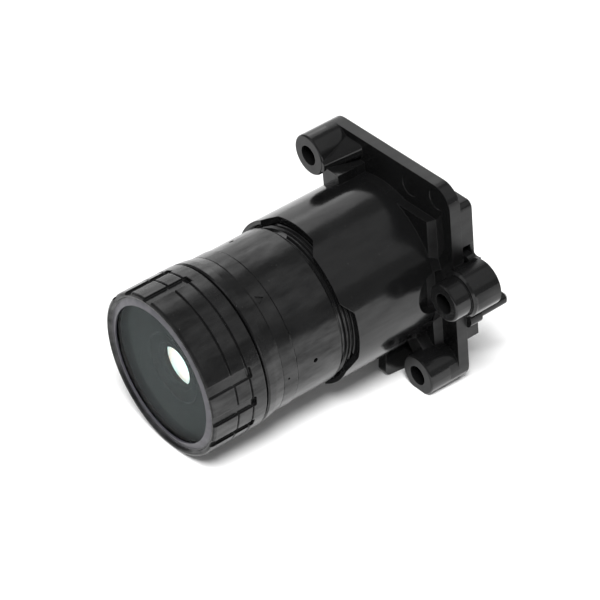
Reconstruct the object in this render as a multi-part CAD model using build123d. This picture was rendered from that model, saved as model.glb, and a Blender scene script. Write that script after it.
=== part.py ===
from build123d import *
import math
import os

# A fixed-focus camera lens screwed into its moulded lens holder, in millimetres.
# The optical axis is the Y axis and the lens looks along -Y. +Z is up. The origin is where the
# optical axis meets the holder's rear face, the face that sits on the camera's circuit board.

# Focus thread: M12 x 0.35, right-hand. The holder's bore is plain and clears its crests.
PITCH = 0.35
THREAD_MAJOR_R = 6.0
THREAD_DEPTH = 0.19
THREAD_CREST = PITCH / 8
THREAD_TURNS = 15
THREAD_CLEARANCE = 0.04
FLANK = math.tan(math.radians(30))

# Lens, front to rear along Y
LENS_FRONT = -22.95
LIP_FRONT = -22.87
GLASS_FRONT = -22.72
BAFFLE_HOLE_FRONT = -21.24
SEAT_REAR = -20.6
NOSE_FRONT = -20.2
GROOVE_1 = -20.8
GROOVE_2 = -19.5
RING_REAR = -18.25
CLAMP_FRONT = -18.1
INDEX_FRONT = -16.6
INDEX_REAR = -15.3
BARREL_REAR = -11.27
THREAD_FRONT = -11.0
LENS_REAR = -5.3
GLUE_HOLE_Y = -13.7
GLUE_HOLE_R = 0.18

# Lens radii
RING_R = 6.45
RING_LIP_R = 5.42
RING_SEAM_R = 5.95
GLASS_R = 5.6
GLASS_THICKNESS = 0.6
BAFFLE_HOLE_R = 1.52
BAFFLE_RIDGES = (1.95, 2.8)
NOSE_CAP_R = 1.76
NOSE_R = 5.5
SLEEVE_R = 5.85
INDEX_R = 6.21
BARREL_R = 6.15
UNDERCUT_R = 5.76
CELL_R = 4.6
CELL_GAP = 0.05

# Optics, front to rear along Y: vertices, surface radii and the spacers' ends
OPTIC_R = 4.0
SPACER_R = 3.2
THIRD_VERTEX, THIRD_RADIUS = -17.65, 8.0
SPACER_1 = (-18.2, THIRD_VERTEX + THIRD_RADIUS - math.sqrt(THIRD_RADIUS ** 2 - SPACER_R ** 2))
STOP_FRONT, STOP_THICKNESS, STOP_R = -15.2, 0.15, 1.5
CROWN_VERTEX, CROWN_RADIUS = -14.8, 9.0
CEMENT_VERTEX, CEMENT_RADIUS = -11.9, 7.0
SPACER_3 = (-10.9, -9.2)
REAR_VERTEX, REAR_RADIUS = -7.1, 8.0

# Grip notches: three groups of three with smooth ring between
NOTCH_GROUPS = 3
NOTCH_GROUP_ANGLE = -5
NOTCH_STEP = 22
NOTCH_WIDTH = 0.85
NOTCH_DEPTH = 0.2
NOTCH_END_DEPTH = 0.32

# Holder, front to rear along Y
TUBE_FRONT = -10.9
SCALLOP_FLOOR = -10.02
BOSS_FRONT = -4.7
PEDESTAL_FRONT = -2.76
PLATE_FRONT = -2.05
PLATE_REAR = -1.1
PAD_REAR = -0.7
PIN_REAR = 2.75
WINDOW_FRONT = -3.4
CAVITY_FRONT = -2.4

# Holder sizes across the axis
TUBE_R = 6.55
RELIEF_R = 4.4
PEDESTAL = 12.1
PLATE_LEFT, PLATE_RIGHT = -6.73, 7.68
PLATE_BOTTOM, PLATE_TOP = -8.38, 9.05
FRAME_BOTTOM, FRAME_TOP = -5.9, 7.4
FRAME_RIGHT = 7.63
BOSS_R = 1.63
SCREW_HOLE_R = 0.8
UPPER_BOSS = (-5.1, 7.42)
SIDE_BOSS = (9.5, 1.75)
SIDE_BOSS_FRONT = -4.6
SIDE_BOSS_STEP = -3.15
SIDE_BOSS_R = 1.8
SIDE_BOSS_SLIM_R = 1.47
LOWER_BOSS = (6.05, -6.75)
PIN_R = 0.49
PIN_ROOT_R = 0.72
RIGHT_PIN = (7.5, -2.6)
LEFT_PIN = (-6.2, 2.6)
WINDOW = (7.2, 5.8)
FILTER = (8.0, 6.6, 0.3)
FILTER_FRONT = -2.75
GLUE_GAP = 0.2
CAVITY = (10.6, 9.4)


def turned(*outline):
    """A body of revolution about the optical axis, from (radius, y) points."""
    return revolve(make_face(Polyline(*outline, close=True)), axis=Axis.Y)


def ring(outer, inner, front, rear):
    """A plain ring about the optical axis."""
    return turned((inner, front), (outer, front), (outer, rear), (inner, rear))


def bar(centre, radius, front, rear):
    """A round bar along Y, centred on an (x, z) point."""
    middle = Pos(centre[0], (front + rear) / 2, centre[1])
    return middle * Rot(90, 0, 0) * Cylinder(radius, rear - front)


def slab(outline, front, rear):
    """A sketch of the X-Z plane, made into a slab from front to rear."""
    return extrude(Plane.XZ.offset(-rear) * outline, amount=rear - front)


def panel(left, right, bottom, top, corner=0):
    """A rectangle of the X-Z plane with rounded corners."""
    size = (right - left, top - bottom)
    shape = RectangleRounded(*size, corner) if corner else Rectangle(*size)
    return Pos((left + right) / 2, (bottom + top) / 2) * shape


def radial_plane(angle, distance, y=0):
    """A plane that faces away from the axis, with its x tangential and its y along -Y."""
    turn = math.radians(angle)
    outward = Vector(math.cos(turn), 0, math.sin(turn))
    across = Vector(-math.sin(turn), 0, math.cos(turn))
    return Plane(origin=outward * distance + Vector(0, y, 0), x_dir=across, z_dir=outward)


def ball(radius, vertex, side):
    """A ball whose surface passes through the vertex and lies on one side of it along Y."""
    return Pos(0, vertex + side * radius, 0) * Sphere(radius)


def sag(radius, at):
    """How far a ball's surface falls back from its vertex at a distance from the axis."""
    return radius - math.sqrt(radius ** 2 - at ** 2)


def thread_ridge(front, turns):
    """The male thread: a right-hand helical ridge about Y, sunk a little into its core."""
    sink = 0.03
    root_r = THREAD_MAJOR_R - THREAD_DEPTH - sink
    depth = THREAD_MAJOR_R - root_r
    half_crest = THREAD_CREST / 2
    half_root = half_crest + depth * FLANK
    path = Helix(PITCH, turns * PITCH, root_r, center=(0, front, 0), direction=(0, 1, 0))
    plane = Plane(origin=path @ 0, x_dir=(0, 0, 1), z_dir=path % 0)
    tooth = Polyline((0, -half_root), (depth, -half_crest), (depth, half_crest), (0, half_root),
                     close=True)
    return sweep(plane * make_face(tooth), path=path, is_frenet=True)


# Lens holder: one moulding

def lens_bore():
    """The space inside the tube: the plain bore with its lead-in, and the relief behind it."""
    bore_r = THREAD_MAJOR_R + THREAD_CLEARANCE
    bore_rear = LENS_REAR + 0.5
    return turned(
        (0, TUBE_FRONT - 1), (bore_r + 0.2, TUBE_FRONT - 1), (bore_r + 0.2, TUBE_FRONT),
        (bore_r, TUBE_FRONT + 0.2), (bore_r, bore_rear), (RELIEF_R, bore_rear), (RELIEF_R, WINDOW_FRONT),
        (0, WINDOW_FRONT),
    )


def scallop(angle):
    """One of the four dips in the tube's front edge, with sloping ends and rounded corners."""
    end_slope, corner = 1.15, 0.35
    floor, top = -SCALLOP_FLOOR, -TUBE_FRONT + 0.4
    half_floor = TUBE_R * math.sin(math.radians(18))
    half_top = half_floor + (top - floor) * end_slope
    outline = Polyline((-half_floor, floor), (half_floor, floor), (half_top, top), (-half_top, top),
                       close=True)
    dip = make_face(outline)
    dip = fillet(dip.vertices().sort_by(Axis.Y)[:2], corner)
    return extrude(radial_plane(angle, 4.5) * dip, amount=3)


def boss(centre, front, rear, radius=BOSS_R):
    """A screw boss with slightly rounded front edge, without its hole."""
    post = bar(centre, radius, front, rear)
    return fillet(post.edges().sort_by(Axis.Y)[:1], 0.15)


def rib_end(y, tip_x, low, high):
    """One end of the upper boss's rib: a four-sided section from the boss's middle out to tip_x."""
    x, z = UPPER_BOSS
    outline = Polyline((x, z + low), (x + tip_x, z + low), (x + tip_x, z + high), (x, z + high), close=True)
    return Plane.XZ.offset(-y) * make_face(outline)


def upper_boss_web():
    """The upper boss's upright wall down to the tube, and the flaring round-edged rib beside it."""
    x, z = UPPER_BOSS
    wall = slab(panel(x + 1.35, x + 3.25, 4.6, z - 0.3), BOSS_FRONT + 0.15, PLATE_FRONT)
    rib = loft([rib_end(BOSS_FRONT + 0.02, 1.8, -0.75, 0.2), rib_end(PLATE_FRONT, 3.05, -0.1, 1.05)])
    outer_edges = rib.edges().sort_by(Axis.X)[-4:].sort_by(SortBy.LENGTH)[-2:]
    return wall + fillet(outer_edges, 0.38)


def lower_boss_web():
    """A radial wall from the tube out to the lower boss."""
    angle, reach, width, front = -48.2, 1.9, 1.5, -3.7
    wall = Pos(0, (front + PLATE_FRONT) / 2, 0) * Box(reach, PLATE_FRONT - front, width)
    return Rot(0, -angle, 0) * Pos(TUBE_R - 0.3 + reach / 2, 0, 0) * wall


def side_boss_arms():
    """The lug and the thin rear gusset that carry the side boss beyond the plate's edge."""
    x, z = SIDE_BOSS
    root_x = PLATE_RIGHT - 0.4
    lug = make_face(Polyline((root_x, z + 0.7), (x, z + 1.4), (x, z - 1.5), (root_x, z - 2.3), close=True))
    edge = Spline((FRAME_RIGHT, z + 1.95), (x - 1.45, z + 1.3), (x - 0.9, z + 1.35))
    sides = Polyline((x - 0.9, z + 1.35), (x - 0.9, z - 1.2), (root_x, z - 1.6), (root_x, z + 1.95),
                     (FRAME_RIGHT, z + 1.95))
    gusset = make_face([edge, sides])
    return slab(lug, PLATE_FRONT, PLATE_REAR) + slab(gusset, PAD_REAR - 0.25, -0.2)


def side_pockets():
    """Two small hollows in the rear frame's side, above the side boss."""
    upper = Pos(PLATE_RIGHT, -0.69, 3.49) * Box(1.2, 0.68, 0.7)
    lower = Pos(PLATE_RIGHT, -0.58, 2.4) * Box(1.2, 0.84, 0.7)
    return upper + lower


def side_boss():
    """The stepped boss at the side: a slim front end on a thicker body with a bevelled step."""
    body = bar(SIDE_BOSS, SIDE_BOSS_R, SIDE_BOSS_STEP, PAD_REAR)
    body = chamfer(body.edges().sort_by(Axis.Y)[:1], 0.16)
    return body + boss(SIDE_BOSS, SIDE_BOSS_FRONT, SIDE_BOSS_STEP, SIDE_BOSS_SLIM_R)


def pedestal():
    """The square foot of the tube. Its right side has draft."""
    half, draft = PEDESTAL / 2, 0.2
    side = make_face(Polyline((-half, PLATE_FRONT), (-half, PEDESTAL_FRONT), (half - draft, PEDESTAL_FRONT),
                              (half, PLATE_FRONT), close=True))
    return extrude(Plane.XY.offset(-half) * side, amount=PEDESTAL)


def base_plates():
    """The flange plate with the rear frame behind it."""
    plate = panel(PLATE_LEFT, PLATE_RIGHT, PLATE_BOTTOM, PLATE_TOP, BOSS_R)
    frame = panel(PLATE_LEFT, FRAME_RIGHT, FRAME_BOTTOM, FRAME_TOP, 0.5)
    frame -= panel(FRAME_RIGHT - 1.4, FRAME_RIGHT + 1, FRAME_BOTTOM - 1, -4.45)
    relief = bar(UPPER_BOSS, BOSS_R + 0.55, PLATE_REAR, 0)
    return slab(plate, PLATE_FRONT, PLATE_REAR) + (slab(frame, PLATE_REAR, 0) - relief)


def bottom_rib():
    """A gusset under the tube, on its side nearer the lower boss, with a rounded nose."""
    left, thickness = 2.5, 0.85
    side = make_face(Polyline((-5.3, -5.0), (-5.6, -7.9), (PLATE_FRONT, PLATE_BOTTOM), (PLATE_FRONT, -5.0),
                              close=True))
    side = fillet(side.vertices().sort_by(Axis.X)[:1], 0.5)
    return extrude(Plane.YZ.offset(left) * side, amount=thickness)


def foot_pocket():
    """The round-ended pocket in the tube and its square foot, where they face the side boss."""
    radius, floor_x = 1.75, 5.5
    return Pos(floor_x + 2, PEDESTAL_FRONT + 0.05, 0.1) * Rot(0, 90, 0) * Cylinder(radius, 4)


def mould_marks():
    """Two shallow round ejector marks on the plate's front face."""
    rear = PLATE_FRONT + 0.06
    return bar((6.3, 7.9), 0.85, PLATE_FRONT, rear) + bar((3.3, 7.6), 0.85, PLATE_FRONT, rear)


def locating_pins():
    """The two pins at the rear. The right one has a thick root beside the rear frame."""
    pins = bar(RIGHT_PIN, PIN_ROOT_R, PLATE_REAR, 0)
    for centre in (RIGHT_PIN, LEFT_PIN):
        pin = bar(centre, PIN_R, PLATE_REAR, PIN_REAR)
        pins += chamfer(pin.edges().sort_by(Axis.Y)[-1:], 0.2)
    return pins


def sensor_cavity():
    """The hollow in the rear: sensor space, filter seat and the window into the tube."""
    half_x, half_z = CAVITY[0] / 2, CAVITY[1] / 2
    space = slab(panel(-half_x, half_x, -half_z, half_z, 0.6), CAVITY_FRONT, 0.5)
    seat_size = (FILTER[0] + 2 * GLUE_GAP, FILTER[1] + 2 * GLUE_GAP)
    seat = slab(Rectangle(*seat_size), FILTER_FRONT, CAVITY_FRONT)
    window = slab(RectangleRounded(*WINDOW, 0.5), WINDOW_FRONT - 0.5, CAVITY_FRONT)
    return space + seat + window


def lens_holder():
    tube = bar((0, 0), TUBE_R, TUBE_FRONT, PLATE_FRONT) + pedestal() - foot_pocket()
    body = base_plates() + tube + upper_boss_web() + lower_boss_web()
    body += boss(UPPER_BOSS, BOSS_FRONT, PLATE_REAR) + boss(LOWER_BOSS, BOSS_FRONT, PLATE_REAR)
    body += side_boss_arms() + side_boss() + bottom_rib()
    body += locating_pins()
    body -= lens_bore() + side_pockets() + mould_marks() + sensor_cavity()
    for angle in range(0, 360, 90):
        body -= scallop(angle)
    for centre in (UPPER_BOSS, SIDE_BOSS, LOWER_BOSS):
        body -= bar(centre, SCREW_HOLE_R, BOSS_FRONT - 1, 1)
    return body


# What the holder carries: infrared filter, its adhesive and the sensor's gasket

def ir_cut_filter():
    return slab(Rectangle(FILTER[0], FILTER[1]), FILTER_FRONT, FILTER_FRONT + FILTER[2])


def filter_adhesive():
    glass = Rectangle(FILTER[0], FILTER[1])
    bead = Rectangle(FILTER[0] + 2 * GLUE_GAP, FILTER[1] + 2 * GLUE_GAP) - glass
    return slab(bead, FILTER_FRONT, FILTER_FRONT + FILTER[2])


def sensor_gasket():
    outer = RectangleRounded(CAVITY[0] - 0.1, CAVITY[1] - 0.1, 0.5)
    return slab(outer - RectangleRounded(7.6, 6.4, 0.4), -1.0, -0.05)


# Barrel and the rings on it, which turn together

def lens_barrel():
    """The outer barrel: nose for the front ring, sleeve for two rings, main barrel and thread."""
    bore_r = CELL_R + CELL_GAP
    root_r = THREAD_MAJOR_R - THREAD_DEPTH
    body = turned(
        (bore_r, NOSE_FRONT), (NOSE_R, NOSE_FRONT), (NOSE_R, RING_REAR), (SLEEVE_R, RING_REAR),
        (SLEEVE_R, INDEX_REAR), (BARREL_R, INDEX_REAR), (BARREL_R, BARREL_REAR - 0.08),
        (BARREL_R - 0.08, BARREL_REAR), (UNDERCUT_R, BARREL_REAR), (UNDERCUT_R, THREAD_FRONT),
        (root_r, THREAD_FRONT), (root_r, LENS_REAR - 0.15), (root_r - 0.15, LENS_REAR), (4.0, LENS_REAR),
        (4.0, LENS_REAR - 0.5), (bore_r, LENS_REAR - 0.5),
    )
    body += thread_ridge(THREAD_FRONT + 0.2, THREAD_TURNS)
    for angle in glue_hole_angles():
        body -= extrude(radial_plane(angle, CELL_R, GLUE_HOLE_Y) * Circle(GLUE_HOLE_R), amount=2)
    return body


def glue_hole_angles():
    return [-2 + 120 * index for index in range(3)]


def cell_glue_plugs():
    """Glue in the barrel's three radial holes, a little below the surface."""
    inner = CELL_R + CELL_GAP
    depth = BARREL_R - inner - 0.25
    plugs = []
    for angle in glue_hole_angles():
        plugs.append(extrude(radial_plane(angle, inner, GLUE_HOLE_Y) * Circle(GLUE_HOLE_R), amount=depth))
    return Compound(children=plugs)


def index_ring():
    """A thin ring with an engraved triangle and a dot."""
    body = turned(
        (SLEEVE_R, INDEX_FRONT), (INDEX_R - 0.04, INDEX_FRONT), (INDEX_R, INDEX_FRONT + 0.05),
        (INDEX_R, INDEX_REAR - 0.1), (INDEX_R - 0.07, INDEX_REAR), (SLEEVE_R, INDEX_REAR),
    )
    floor_r = INDEX_R - 0.15
    mark_y = INDEX_FRONT + 0.45
    triangle = radial_plane(55.3, floor_r, mark_y) * RegularPolygon(0.38, 3, rotation=-90)
    dot = radial_plane(-4.5, floor_r, mark_y) * Circle(0.09)
    return body - extrude(triangle, amount=1) - extrude(dot, amount=1)


def clamp_ring():
    """A tapered ring that the front ring holds against the index ring."""
    return turned(
        (SLEEVE_R, CLAMP_FRONT), (6.3, CLAMP_FRONT), (6.42, CLAMP_FRONT + 0.12), (6.36, -17.4),
        (INDEX_R, INDEX_FRONT), (SLEEVE_R, INDEX_FRONT),
    )


def grip_notch(angle):
    """A shallow lengthwise notch across the ring's two front bands, deeper where it ends."""
    front, rear, end_length = LENS_FRONT - 0.5, GROOVE_2 + 0.28, 0.32
    middle = radial_plane(angle, RING_R - NOTCH_DEPTH, (front + rear) / 2)
    channel = extrude(middle * RectangleRounded(NOTCH_WIDTH, rear - front, 0.12), amount=1)
    end = radial_plane(angle, RING_R - NOTCH_END_DEPTH, rear - end_length / 2)
    return channel + extrude(end * Rectangle(NOTCH_WIDTH - 0.1, end_length), amount=1)


def front_ring():
    """The front retaining ring: sloping lip, rounded rim, two fine grooves and grip notches."""
    fine, fine_deep = 0.09, 0.14
    outline = [(RING_LIP_R, GLASS_FRONT), (RING_LIP_R, LIP_FRONT), (RING_SEAM_R, LIP_FRONT + 0.17),
               (RING_SEAM_R + 0.16, LENS_FRONT + 0.04), (RING_R - 0.2, LENS_FRONT),
               (RING_R - 0.06, LENS_FRONT + 0.07), (RING_R, LENS_FRONT + 0.22)]
    for groove in (GROOVE_1, GROOVE_2):
        outline += [(RING_R, groove - fine), (RING_R - fine_deep, groove), (RING_R, groove + fine)]
    outline += [(RING_R, RING_REAR - 0.08), (RING_R - 0.08, RING_REAR), (NOSE_R, RING_REAR),
                (NOSE_R, SEAT_REAR), (GLASS_R, SEAT_REAR), (GLASS_R, GLASS_FRONT)]
    body = turned(*outline)
    for group in range(NOTCH_GROUPS):
        for step in (-1, 0, 1):
            body -= grip_notch(NOTCH_GROUP_ANGLE + group * 360 / NOTCH_GROUPS + step * NOTCH_STEP)
    return body


def front_element():
    """The front window: a flat disc of glass with ground edges."""
    disc = ring(GLASS_R, 0, GLASS_FRONT, GLASS_FRONT + GLASS_THICKNESS)
    return chamfer(disc.edges(), 0.06)


def front_seal():
    section = Pos(5.2, (SEAT_REAR + NOSE_FRONT) / 2) * Circle((NOSE_FRONT - SEAT_REAR) / 2)
    return revolve(section, axis=Axis.Y)


def front_baffle():
    """A solid ring behind the front glass that slopes down to a small hole, with two fine ridges round the
    hole and a well behind it."""
    front = GLASS_FRONT + GLASS_THICKNESS + 0.02
    outer, well_r = GLASS_R - 0.05, NOSE_CAP_R + 0.14
    mouth_r = outer - 0.15
    slope = (BAFFLE_HOLE_FRONT - front) / (mouth_r - BAFFLE_HOLE_R)
    outline = [(mouth_r, front), (outer, front), (outer, SEAT_REAR), (well_r, SEAT_REAR),
               (well_r, BAFFLE_HOLE_FRONT + 0.24), (BAFFLE_HOLE_R + 0.05, BAFFLE_HOLE_FRONT + 0.14),
               (BAFFLE_HOLE_R, BAFFLE_HOLE_FRONT)]
    for radius in BAFFLE_RIDGES:
        for step, height in ((-0.06, 0), (0, 0.07), (0.06, 0)):
            face = BAFFLE_HOLE_FRONT - slope * (radius + step - BAFFLE_HOLE_R)
            outline.append((radius + step, face - height))
    return turned(*outline)


# Lens cell and its optics, front to rear

def lens_cell():
    """The inner sleeve, with a lip in front that holds the optics in."""
    lip_front, lip_rear, rear = -20.1, -19.8, LENS_REAR - 0.6
    return turned(
        (3.5, lip_front), (CELL_R, lip_front), (CELL_R, rear), (OPTIC_R, rear), (OPTIC_R, lip_rear),
        (3.7, lip_rear),
    )


def second_element():
    """Meniscus, hollow side to the rear, with a neck in the cell's front lip and a small domed cap."""
    body = ring(OPTIC_R, 0, -20.8, SPACER_1[0]) & ball(7.5, -20.35, 1)
    neck = ring(OPTIC_R, 3.65, -21, -19.8)
    cap = ring(NOSE_CAP_R, 0, -21, -20.0) & ball(15.0, -20.85, 1)
    return body - ball(3.4, -19.5, 1) - neck + cap


def front_spacer():
    return ring(OPTIC_R, SPACER_R, *SPACER_1)


def third_element():
    """Plano-convex, flat to the rear."""
    return ring(OPTIC_R, 0, THIRD_VERTEX, STOP_FRONT) & ball(THIRD_RADIUS, THIRD_VERTEX, 1)


def aperture_stop():
    """A thin disc with a sharp-edged hole."""
    rear = STOP_FRONT + STOP_THICKNESS
    return turned((STOP_R, STOP_FRONT), (OPTIC_R, STOP_FRONT), (OPTIC_R, rear), (STOP_R + 0.1, rear))


def stop_spacer():
    return ring(OPTIC_R, SPACER_R, STOP_FRONT + STOP_THICKNESS, CROWN_VERTEX + sag(CROWN_RADIUS, SPACER_R))


def crown_element():
    """Biconvex half of the cemented pair."""
    blank = ring(OPTIC_R, 0, CROWN_VERTEX, CEMENT_VERTEX)
    return blank & ball(CROWN_RADIUS, CROWN_VERTEX, 1) & ball(CEMENT_RADIUS, CEMENT_VERTEX, -1)


def flint_element():
    """Hollow half of the cemented pair, its front face seated on the crown's rear face."""
    rim = CEMENT_VERTEX - sag(CEMENT_RADIUS, OPTIC_R)
    return ring(OPTIC_R, 0, rim, SPACER_3[0]) - ball(CEMENT_RADIUS, CEMENT_VERTEX, -1)


def rear_spacer():
    return ring(OPTIC_R, SPACER_R, *SPACER_3)


def rear_element():
    """Plano-convex, flat to the front."""
    return ring(OPTIC_R, 0, SPACER_3[1], REAR_VERTEX) & ball(REAR_RADIUS, REAR_VERTEX, -1)


def rear_lock_ring():
    """The ring that closes the cell, with a spanner slot across it."""
    rear = REAR_VERTEX + 0.5
    body = ring(OPTIC_R, SPACER_R, REAR_VERTEX - sag(REAR_RADIUS, SPACER_R), rear)
    return body - Pos(0, rear, 0) * Box(2 * OPTIC_R + 1, 0.7, 0.7)


PARTS = {
    "lens_holder": lens_holder,
    "ir_cut_filter": ir_cut_filter,
    "filter_adhesive": filter_adhesive,
    "sensor_gasket": sensor_gasket,
    "lens_barrel": lens_barrel,
    "cell_glue_plugs": cell_glue_plugs,
    "index_ring": index_ring,
    "clamp_ring": clamp_ring,
    "front_ring": front_ring,
    "front_element": front_element,
    "front_seal": front_seal,
    "front_baffle": front_baffle,
    "lens_cell": lens_cell,
    "second_element": second_element,
    "front_spacer": front_spacer,
    "third_element": third_element,
    "aperture_stop": aperture_stop,
    "stop_spacer": stop_spacer,
    "crown_element": crown_element,
    "flint_element": flint_element,
    "rear_spacer": rear_spacer,
    "rear_element": rear_element,
    "rear_lock_ring": rear_lock_ring,
}

os.makedirs("parts", exist_ok=True)
for name, make in PARTS.items():
    export_step(make(), f"parts/{name}.step")
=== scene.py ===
import math

import bpy
from mathutils import Matrix, Vector


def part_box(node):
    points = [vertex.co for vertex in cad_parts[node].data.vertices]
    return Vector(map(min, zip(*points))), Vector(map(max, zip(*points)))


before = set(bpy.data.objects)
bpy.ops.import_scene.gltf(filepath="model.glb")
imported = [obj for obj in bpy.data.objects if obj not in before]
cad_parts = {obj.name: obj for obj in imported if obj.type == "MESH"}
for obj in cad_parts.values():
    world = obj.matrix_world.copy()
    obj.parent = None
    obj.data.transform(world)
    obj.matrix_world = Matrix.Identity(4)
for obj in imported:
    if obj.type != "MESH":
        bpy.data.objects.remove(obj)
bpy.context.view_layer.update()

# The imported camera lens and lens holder, in metres: the optical axis is Y and the lens looks along -Y.
MM = 0.001

# Camera: its direction from the object, the point it looks at and its roll, in the object's frame
CAMERA_AZIMUTH = math.radians(55.40)
CAMERA_ELEVATION = math.radians(37.26)
CAMERA_ROLL = math.radians(-5.88)
CAMERA_DISTANCE = 199.3 * MM
CAMERA_AIM = Vector((0.22, -10.43, 0.11)) * MM
CAMERA_LENS = 165.0

# Where a finish or the lip's painted highlight changes on a piece: the two ends of each soft change, along Y or
# in radius
SATIN_FROM_Y = (-2.9 * MM, -2.8 * MM)
LIP_REAR_Y = (-22.74 * MM, -22.69 * MM)
LIP_OUTER_R = (5.93 * MM, 6.0 * MM)

# Floor: half its size, its gap under the object, how far behind the front ring's edge the ring touches it,
# and where the flange does
FLOOR_HALF = 1.5
FLOOR_GAP = 0.03 * MM
RING_REST_INSET = 0.1 * MM
FLANGE_REST_Y = -1.1 * MM

# Soft panels: direction from the object, distance, width, height, and brightness in a reflection
PANELS = {
    "back panel": ((-0.56, 0.45, 0.69), 0.70, 0.17, 0.62, 1.0),
    "side panel": ((-0.87, 0.45, 0.18), 0.70, 0.32, 0.62, 0.75),
    "fill panel": ((-0.76, 0.45, 0.46), 0.75, 0.22, 0.62, 0.12),
    "top panel": ((0.48, 0.45, 0.75), 0.70, 0.84, 0.62, 0.27),
    "front panel": ((-0.30, -0.85, 0.75), 0.80, 0.5, 0.4, 0.6),
}
KEY_DIRECTION = (0.42, -0.30, 0.86)
KEY_STRENGTH = 4.2
KEY_ANGLE = math.radians(22)
ROOM_BRIGHTNESS = 0.2


# Shader helpers

def gray(value, tint=(1.0, 1.0, 1.0)):
    return (value * tint[0], value * tint[1], value * tint[2], 1.0)


class Shader:
    """A material's node tree, with short calls to add a node and to link it."""

    def __init__(self, name):
        self.material = bpy.data.materials.new(name)
        self.material.use_nodes = True
        self.tree = self.material.node_tree
        self.surface = self.tree.nodes["Principled BSDF"]
        self.place = self.add("TexCoord").outputs["Object"]

    def add(self, kind, settings=None, **inputs):
        """Adds a node, sets its properties, and sets or links its inputs by name."""
        node = self.tree.nodes.new("ShaderNode" + kind)
        for key, value in (settings or {}).items():
            setattr(node, key, value)
        for key, value in inputs.items():
            self.put(node.inputs[key.replace("_", " ")], value)
        return node

    def put(self, socket, value):
        if isinstance(value, bpy.types.NodeSocket):
            self.tree.links.new(value, socket)
        else:
            socket.default_value = value

    def set(self, **inputs):
        """Sets or links inputs of the surface by name."""
        for key, value in inputs.items():
            self.put(self.surface.inputs[key.replace("_", " ")], value)

    def linked(self, name):
        """What is linked to an input of the surface now."""
        return self.surface.inputs[name].links[0].from_socket

    def parts(self, vector):
        """The X, Y and Z of a vector."""
        return self.add("SeparateXYZ", Vector=vector).outputs

    def facing(self):
        """The X, Y and Z of the surface's direction."""
        return self.parts(self.add("TexCoord").outputs["Normal"])

    def math(self, operation, first, second):
        node = self.add("Math", {"operation": operation})
        self.put(node.inputs[0], first)
        self.put(node.inputs[1], second)
        return node.outputs[0]

    def times(self, first, second):
        return self.math("MULTIPLY", first, second)

    def plus(self, first, second):
        return self.math("ADD", first, second)

    def span(self, value, low, high, to_low=0.0, to_high=1.0):
        """Maps value from low..high to to_low..to_high, held at the ends."""
        node = self.add("MapRange", {"clamp": True})
        self.put(node.inputs[0], value)
        for index, number in enumerate((low, high, to_low, to_high), start=1):
            node.inputs[index].default_value = number
        return node.outputs[0]

    def mix(self, share, first, second):
        """One colour or another, by share."""
        node = self.add("Mix", {"data_type": "RGBA"})
        self.put(node.inputs[0], share)
        self.put(node.inputs[6], first)
        self.put(node.inputs[7], second)
        return node.outputs[2]

    def noise(self, size, detail=3.0, stretch=None):
        """Smooth noise whose features measure about size metres, from 0 to 1."""
        place = self.place
        if stretch:
            place = self.add("Mapping", Vector=place, Scale=stretch).outputs[0]
        node = self.add("TexNoise", Vector=place, Scale=1 / size, Detail=detail, Roughness=0.55)
        return node.outputs["Fac"]

    def distance_from_axis(self):
        """The distance from the optical axis, in metres."""
        flat = self.add("VectorMath", {"operation": "MULTIPLY"}, Vector=self.place)
        flat.inputs[1].default_value = (1.0, 0.0, 1.0)
        length = self.add("VectorMath", {"operation": "LENGTH"})
        self.put(length.inputs[0], flat.outputs[0])
        return length.outputs["Value"]

    def rounded(self, radius, samples):
        """The surface's direction as if its edges had this radius."""
        return self.add("Bevel", {"samples": samples}, Radius=radius).outputs[0]

    def edges(self, radius):
        """1 on sharp outer edges, fading to 0 within about radius metres."""
        rounded = self.rounded(radius, 4)
        true = self.add("NewGeometry").outputs["Normal"]
        same = self.add("VectorMath", {"operation": "DOT_PRODUCT"})
        self.put(same.inputs[0], rounded)
        self.put(same.inputs[1], true)
        turned = self.math("SUBTRACT", 1.0, same.outputs["Value"])
        return self.span(turned, 0.02, 0.25)

    def bump(self, height, distance, normal=None):
        node = self.add("Bump", Height=height, Distance=distance, Strength=1.0)
        if normal is not None:
            self.put(node.inputs["Normal"], normal)
        return node.outputs[0]


# Materials

def black_plastic(name, gloss, grain, dust, mottle, streaks, round_edge=0.05 * MM):
    """Black moulded plastic: its shader, and the streaks of its shine. gloss is its lowest roughness, grain its
    bump height in metres, dust the share of the surface with pale specks, mottle the height of its slow
    unevenness in metres and streaks how much its shine varies in streaks along the axis."""
    s = Shader(name)
    cloud = s.noise(2.6 * MM, detail=4)
    fine = s.noise(0.09 * MM, detail=2)
    specks = s.span(s.noise(0.16 * MM, detail=1), 0.80 - dust, 0.84 - dust)
    worn = s.times(s.edges(0.06 * MM), s.span(s.noise(0.5 * MM), 0.35, 0.7))
    base = s.mix(cloud, gray(0.004), gray(0.0065, (1.0, 1.02, 1.06)))
    base = s.mix(s.times(worn, 0.5), base, gray(0.035))
    base = s.mix(s.times(specks, 0.35), base, gray(0.10))
    rough = s.span(cloud, 0.3, 0.75, gloss, gloss + 0.10)
    rough = s.plus(rough, s.times(s.span(fine, 0.4, 0.7), 0.05))
    rough = s.plus(rough, s.times(specks, 0.2))
    wave = s.bump(s.noise(1.9 * MM, detail=1), 0.012 * MM, normal=s.rounded(round_edge, 6))
    wave = s.bump(s.noise(0.45 * MM, detail=2), mottle, normal=wave)
    s.set(Base_Color=base, Roughness=rough, Normal=s.bump(fine, grain, normal=wave), IOR=1.5)
    streak = s.span(s.noise(0.7 * MM, detail=4, stretch=(1.0, 0.3, 1.0)), 0.3, 0.7, 1 - streaks, 1 + streaks)
    front_dulled = s.span(s.facing()["Y"], -0.95, -0.8, 0.22, 0.5)
    s.set(Specular_IOR_Level=s.times(streak, front_dulled))
    return s, streak


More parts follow.
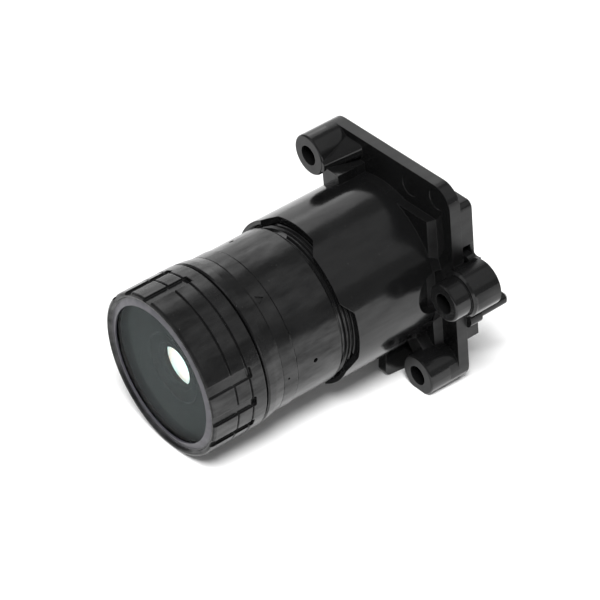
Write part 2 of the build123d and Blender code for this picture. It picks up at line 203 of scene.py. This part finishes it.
def barrel_plastic():
    s, _ = black_plastic("barrel plastic", 0.14, 0.0018 * MM, 0.02, 0.0028 * MM, 0.45)
    return s.material


def holder_plastic():
    """The holder's plastic: glossy, with a satin finish on the flange's right side and top."""
    s, _ = black_plastic("holder plastic", 0.10, 0.0012 * MM, 0.015, 0.0008 * MM, 0.15)
    facing = s.facing()
    behind = s.span(s.parts(s.place)["Y"], *SATIN_FROM_Y)
    right, top = s.span(facing["X"], 0.90, 0.95), s.span(facing["Z"], 0.96, 0.99, 0.0, 0.5)
    satin = s.times(behind, s.math("MAXIMUM", right, top))
    s.set(Roughness=s.plus(s.linked("Roughness"), s.times(satin, 0.35)))
    return s.material


def ring_plastic():
    """The front ring's plastic: grained, with a dull rim round the lip that holds the glass. The lip is painted
    pale lavender, partly its tint and partly a painted highlight, also on its inner wall.
    """
    s, streak = black_plastic("ring plastic", 0.17, 0.0025 * MM, 0.03, 0.0034 * MM, 0.5, round_edge=0.10 * MM)
    inner = s.span(s.distance_from_axis(), *LIP_OUTER_R, 1.0, 0.0)
    lip_tint_and_painted_highlight = s.times(inner, s.span(s.parts(s.place)["Y"], *LIP_REAR_Y, 1.0, 0.0))
    rim = s.times(s.math("SUBTRACT", 1.0, inner), s.span(s.facing()["Y"], -0.85, -0.6, 1.0, 0.0))
    # Tint and painted highlight: the lip and its inner wall get a pale lavender, much lighter than the plastic,
    # standing in partly for the light they reflect.
    s.set(Base_Color=s.mix(lip_tint_and_painted_highlight, s.linked("Base Color"), gray(0.06, (1.0, 0.96, 1.14))))
    s.set(Roughness=s.plus(s.linked("Roughness"), s.times(lip_tint_and_painted_highlight, 0.12)))
    dim = s.math("SUBTRACT", 1.0, s.times(rim, 0.55))
    s.set(Specular_IOR_Level=s.times(s.times(streak, 0.5), dim))
    return s.material


def lens_glass():
    """Polished glass with a few specks of dust. Its low index stands in for an anti-reflection coating."""
    s = Shader("front glass")
    dust = s.span(s.noise(0.16 * MM, detail=1), 0.80, 0.84)
    smear = s.noise(1.7 * MM, detail=3)
    tint = s.mix(smear, (0.90, 0.97, 0.98, 1), (0.82, 0.92, 0.93, 1))
    rough = s.plus(s.span(smear, 0.3, 0.8, 0.0, 0.03), s.times(dust, 0.25))
    s.set(Base_Color=tint, Roughness=rough, Normal=s.bump(smear, 0.0004 * MM))
    s.set(IOR=1.07, Transmission_Weight=1.0)
    return s.material


def coated_optic(name, colour, painted_glow):
    """An inner element: a coloured coating, mottled with pink, with a painted glow from its emission that
    stands in for light coming through from behind.
    """
    s = Shader(name)
    cloud = s.noise(0.9 * MM, detail=2)
    base = s.mix(s.span(cloud, 0.45, 0.65), colour, (1.0, 0.80, 0.68, 1))
    s.set(Base_Color=base, Roughness=s.span(cloud, 0.3, 0.8, 0.03, 0.10), IOR=1.7)
    # Painted glow: the element is no lamp, and its emission stands in for light that comes through from behind.
    s.set(Emission_Color=base, Emission_Strength=painted_glow)
    return s.material


def flat_black(name, value, rough, painted_edge_highlight=0.02, gloss=0.5, turned_grain=0.004 * MM):
    """Blackened metal, paint or rubber. value is how pale its faces are and painted_edge_highlight how pale its
    edges are painted, a painted highlight along edges and ridges; rough is its lowest roughness, gloss its
    specular level and turned_grain the bump height of its grain round the axis."""
    s = Shader(name)
    fine = s.noise(0.07 * MM, detail=2)
    base = s.mix(fine, gray(value), gray(value * 1.8, (0.95, 1.05, 1.02)))
    # Painted highlight: the edges are mixed towards a paler grey.
    base = s.mix(s.edges(0.05 * MM), base, gray(painted_edge_highlight))
    turned = s.noise(0.12 * MM, detail=2, stretch=(0.15, 1.0, 0.15))
    s.set(Base_Color=base, Roughness=s.span(fine, 0.3, 0.8, rough, rough + 0.15))
    s.set(Specular_IOR_Level=gloss, Normal=s.bump(turned, turned_grain))
    return s.material


def soft_foam():
    s = Shader("foam")
    cells = s.add("TexVoronoi", Vector=s.place, Scale=1 / (0.16 * MM)).outputs["Distance"]
    base = s.mix(cells, gray(0.012), gray(0.035))
    s.set(Base_Color=base, Roughness=s.span(cells, 0.0, 0.8, 0.95, 0.8), Normal=s.bump(cells, 0.05 * MM))
    return s.material


def cured_glue():
    s = Shader("cured glue")
    cloud = s.noise(0.25 * MM)
    s.set(Base_Color=s.mix(cloud, gray(0.01), gray(0.03)), Roughness=s.span(cloud, 0.3, 0.7, 0.12, 0.3))
    s.set(Normal=s.bump(cloud, 0.03 * MM))
    return s.material


def filter_glass():
    """Infrared-cut glass: pale blue-green with a pinkish reflection."""
    s = Shader("filter glass")
    cloud = s.noise(2.2 * MM)
    s.set(Base_Color=s.mix(cloud, (0.35, 0.62, 0.66, 1), (0.45, 0.70, 0.68, 1)))
    s.set(Roughness=s.span(cloud, 0.3, 0.8, 0.02, 0.07), Normal=s.bump(cloud, 0.001 * MM))
    s.set(Specular_Tint=(1.0, 0.72, 0.80, 1.0), Specular_IOR_Level=0.9, Transmission_Weight=0.6)
    return s.material


def paper_white():
    """The floor's matt white, a little lifted by light of its own."""
    s = Shader("pale floor")
    white = s.mix(s.noise(1.2 * MM, detail=4), gray(0.90), gray(0.93))
    s.set(Base_Color=white, Roughness=0.9, Specular_IOR_Level=0.1)
    s.set(Emission_Color=white, Emission_Strength=0.05)
    return s.material


def paint(material, *nodes):
    for node in nodes:
        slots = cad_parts[node].data.materials
        slots.clear()
        slots.append(material)


def paint_everything():
    paint(holder_plastic(), "lens_holder")
    paint(barrel_plastic(), "lens_barrel", "index_ring")
    paint(ring_plastic(), "front_ring", "clamp_ring")
    paint(lens_glass(), "front_element")
    # This element's glow is painted light, standing in for light through the lens from behind.
    paint(coated_optic("painted glow optic", (0.80, 1.0, 0.94, 1), painted_glow=0.8), "second_element")
    paint(coated_optic("inner optic", (0.25, 0.42, 0.36, 1), painted_glow=0.0),
          "third_element", "crown_element", "flint_element", "rear_element")
    # The mask's pale edges and ridge rings are a painted highlight.
    paint(flat_black("black mask", 0.022, 0.8, painted_edge_highlight=0.16, gloss=0.10, turned_grain=0.0003 * MM), "front_baffle")
    paint(flat_black("black anodised", 0.010, 0.35),
          "lens_cell", "front_spacer", "aperture_stop", "stop_spacer", "rear_spacer", "rear_lock_ring")
    paint(flat_black("seal rubber", 0.008, 0.5), "front_seal")
    paint(soft_foam(), "sensor_gasket")
    paint(cured_glue(), "cell_glue_plugs", "filter_adhesive")
    paint(filter_glass(), "ir_cut_filter")


# Stage: pale floor, soft panels and the camera

def place(name, data):
    """Adds an object with this data to the scene."""
    obj = bpy.data.objects.new(name, data)
    bpy.context.scene.collection.objects.link(obj)
    return obj


def shining_from(direction):
    """The turn of a light that shines onto the object from this direction."""
    return Vector(direction).normalized().to_track_quat("Z", "Y").to_euler()


def resting_plane():
    """A point under the object and the normal of the surface it lies on: it rests on the front ring and
    on the holder's flange."""
    ring_low, holder_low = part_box("front_ring")[0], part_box("lens_holder")[0]
    front = Vector((0, ring_low.y + RING_REST_INSET, ring_low.z))
    rear = Vector((0, FLANGE_REST_Y, holder_low.z))
    along = (rear - front).normalized()
    normal = Vector((0, -along.z, along.y))
    return front - normal * FLOOR_GAP, normal


def floor():
    point, normal = resting_plane()
    corners = [(x * FLOOR_HALF, y * FLOOR_HALF, 0) for x, y in ((-1, -1), (1, -1), (1, 1), (-1, 1))]
    mesh = bpy.data.meshes.new("floor")
    mesh.from_pydata(corners, [], [(0, 1, 2, 3)])
    mesh.materials.append(paper_white())
    obj = place("floor", mesh)
    obj.matrix_world = Matrix.Translation(point) @ normal.to_track_quat("Z", "Y").to_matrix().to_4x4()


def panel(name, direction, distance, width, height, radiance):
    """A soft area light that faces the object, with the brightness it shows in a reflection."""
    light = bpy.data.lights.new(name, "AREA")
    light.shape = "RECTANGLE"
    light.size, light.size_y = width, height
    light.energy = math.pi * width * height * radiance
    obj = place(name, light)
    obj.location = CAMERA_AIM + Vector(direction).normalized() * distance
    obj.rotation_euler = shining_from(direction)


def key_light():
    """A wide sun that casts the soft shadow and shows in no reflection."""
    sun = bpy.data.lights.new("soft key", "SUN")
    sun.energy = KEY_STRENGTH
    sun.angle = KEY_ANGLE
    obj = place("soft key", sun)
    obj.rotation_euler = shining_from(KEY_DIRECTION)
    obj.visible_glossy = False


def studio():
    for name, settings in PANELS.items():
        panel(name, *settings)
    key_light()
    world = bpy.data.worlds.new("room")
    world.use_nodes = True
    world.node_tree.nodes["Background"].inputs["Color"].default_value = gray(ROOM_BRIGHTNESS)
    bpy.context.scene.world = world
    bpy.context.scene.view_settings.view_transform = "Standard"


def camera():
    back = Vector((
        math.sin(CAMERA_AZIMUTH) * math.cos(CAMERA_ELEVATION),
        -math.cos(CAMERA_AZIMUTH) * math.cos(CAMERA_ELEVATION),
        math.sin(CAMERA_ELEVATION),
    ))
    turn = (-back).to_track_quat("-Z", "Y").to_matrix().to_4x4() @ Matrix.Rotation(CAMERA_ROLL, 4, "Z")
    data = bpy.data.cameras.new("camera")
    data.lens = CAMERA_LENS
    data.clip_start = 0.01
    obj = place("camera", data)
    obj.matrix_world = Matrix.Translation(CAMERA_AIM + back * CAMERA_DISTANCE) @ turn
    bpy.context.scene.camera = obj


camera()
floor()
studio()
paint_everything()
